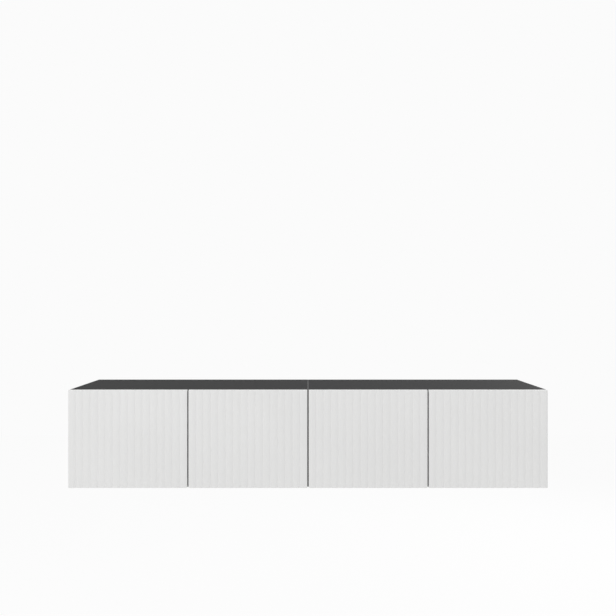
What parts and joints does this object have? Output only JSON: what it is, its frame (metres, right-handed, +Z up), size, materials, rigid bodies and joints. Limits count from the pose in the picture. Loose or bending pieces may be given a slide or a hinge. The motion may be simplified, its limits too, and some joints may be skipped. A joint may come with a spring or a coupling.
{
  "type": "floating media console",
  "caption": "Wall-hung low media console with ribbed doors on concealed hinges, push latches, shelves, cable cut-outs and a steel hanging rail.",
  "frame": {"origin": "middle of the wall rail's rear face, which lies on the wall", "axes": "+X to the right as seen from the front, +Y towards the wall, +Z up; the fronts face -Y"},
  "size_m": [1.8, 0.415, 0.367],
  "materials": {
    "carcass": "matt charcoal melamine",
    "lacquer": "satin white lacquer on ribbed board",
    "nickel": "nickel-plated steel",
    "plastic": "grey moulded plastic",
    "zinc": "zinc-plated steel"
  },
  "bodies": {
    "carcass": {"top_panel_left": "carcass", "top_panel_right": "carcass", "bottom_panel_left": "carcass", "bottom_panel_right": "carcass", "side_panel_left_outer": "carcass", "side_panel_left_inner": "carcass", "side_panel_right_inner": "carcass", "side_panel_right_outer": "carcass", "divider_left": "carcass", "divider_right": "carcass", "back_panel_left": "carcass", "back_panel_right": "carcass", "shelf_left_outer": "carcass", "shelf_left_inner": "carcass", "shelf_right_inner": "carcass", "shelf_right_outer": "carcass", "hinge_arm_1_upper": "nickel", "hinge_arm_1_lower": "nickel", "hinge_arm_2_upper": "nickel", "hinge_arm_2_lower": "nickel", "hinge_arm_3_upper": "nickel", "hinge_arm_3_lower": "nickel", "hinge_arm_4_upper": "nickel", "hinge_arm_4_lower": "nickel", "latch_housing_1": "plastic", "latch_housing_2": "plastic", "latch_housing_3": "plastic", "latch_housing_4": "plastic", "hanger_left_outer": "zinc", "hanger_left_inner": "zinc", "hanger_right_inner": "zinc", "hanger_right_outer": "zinc", "wall_rail": "zinc", "cabinet_bolt_front": "nickel", "cabinet_bolt_rear": "nickel"},
    "links_1": {"hinge_link_1_upper": "nickel", "hinge_link_1_lower": "nickel"},
    "links_2": {"hinge_link_2_upper": "nickel", "hinge_link_2_lower": "nickel"},
    "links_3": {"hinge_link_3_upper": "nickel", "hinge_link_3_lower": "nickel"},
    "links_4": {"hinge_link_4_upper": "nickel", "hinge_link_4_lower": "nickel"},
    "hung_door_1": {"door_1": "lacquer", "hinge_cup_1_upper": "nickel", "hinge_cup_1_lower": "nickel"},
    "hung_door_2": {"door_2": "lacquer", "hinge_cup_2_upper": "nickel", "hinge_cup_2_lower": "nickel"},
    "hung_door_3": {"door_3": "lacquer", "hinge_cup_3_upper": "nickel", "hinge_cup_3_lower": "nickel"},
    "hung_door_4": {"door_4": "lacquer", "hinge_cup_4_upper": "nickel", "hinge_cup_4_lower": "nickel"},
    "plunger_1": {"latch_plunger_1": "plastic"},
    "plunger_2": {"latch_plunger_2": "plastic"},
    "plunger_3": {"latch_plunger_3": "plastic"},
    "plunger_4": {"latch_plunger_4": "plastic"}
  },
  "joints": [
    {"name": "link_swing_1", "type": "hinge", "parent": "carcass", "child": "links_1", "pos_m": [-0.8569, -0.3774, -0.1215], "axis": [0, 0, -1], "range_deg": [-26.2, 0]},
    {"name": "door_swing_1", "type": "hinge", "parent": "links_1", "child": "hung_door_1", "pos_m": [-0.8878, -0.4023, -0.1215], "axis": [0, 0, -1], "range_deg": [0, 116.1]},
    {"name": "link_swing_2", "type": "hinge", "parent": "carcass", "child": "links_2", "pos_m": [-0.04545, -0.3774, -0.1215], "axis": [0, 0, 1], "range_deg": [-26.2, 0]},
    {"name": "door_swing_2", "type": "hinge", "parent": "links_2", "child": "hung_door_2", "pos_m": [-0.01455, -0.4023, -0.1215], "axis": [0, 0, 1], "range_deg": [0, 116.1]},
    {"name": "link_swing_3", "type": "hinge", "parent": "carcass", "child": "links_3", "pos_m": [0.04545, -0.3774, -0.1215], "axis": [0, 0, -1], "range_deg": [-26.2, 0]},
    {"name": "door_swing_3", "type": "hinge", "parent": "links_3", "child": "hung_door_3", "pos_m": [0.01455, -0.4023, -0.1215], "axis": [0, 0, -1], "range_deg": [0, 116.1]},
    {"name": "link_swing_4", "type": "hinge", "parent": "carcass", "child": "links_4", "pos_m": [0.8569, -0.3774, -0.1215], "axis": [0, 0, 1], "range_deg": [-26.2, 0]},
    {"name": "door_swing_4", "type": "hinge", "parent": "links_4", "child": "hung_door_4", "pos_m": [0.8878, -0.4023, -0.1215], "axis": [0, 0, 1], "range_deg": [0, 116.1]},
    {"name": "plunger_slide_1", "type": "slide", "parent": "carcass", "child": "plunger_1", "axis": [0, -1, 0], "range_m": [0, 0.02]},
    {"name": "plunger_slide_2", "type": "slide", "parent": "carcass", "child": "plunger_2", "axis": [0, -1, 0], "range_m": [0, 0.02]},
    {"name": "plunger_slide_3", "type": "slide", "parent": "carcass", "child": "plunger_3", "axis": [0, -1, 0], "range_m": [0, 0.02]},
    {"name": "plunger_slide_4", "type": "slide", "parent": "carcass", "child": "plunger_4", "axis": [0, -1, 0], "range_m": [0, 0.02]}
  ],
  "couplings": [
    {"joint": "link_swing_1", "follows": "door_swing_1", "ratio": -0.22481},
    {"joint": "link_swing_2", "follows": "door_swing_2", "ratio": -0.22481},
    {"joint": "link_swing_3", "follows": "door_swing_3", "ratio": -0.22481},
    {"joint": "link_swing_4", "follows": "door_swing_4", "ratio": -0.22481},
    {"joint": "plunger_slide_1", "follows": "door_swing_1", "m_per_rad": 0.0098},
    {"joint": "plunger_slide_2", "follows": "door_swing_2", "m_per_rad": 0.0098},
    {"joint": "plunger_slide_3", "follows": "door_swing_3", "m_per_rad": 0.0098},
    {"joint": "plunger_slide_4", "follows": "door_swing_4", "m_per_rad": 0.0098}
  ]
}
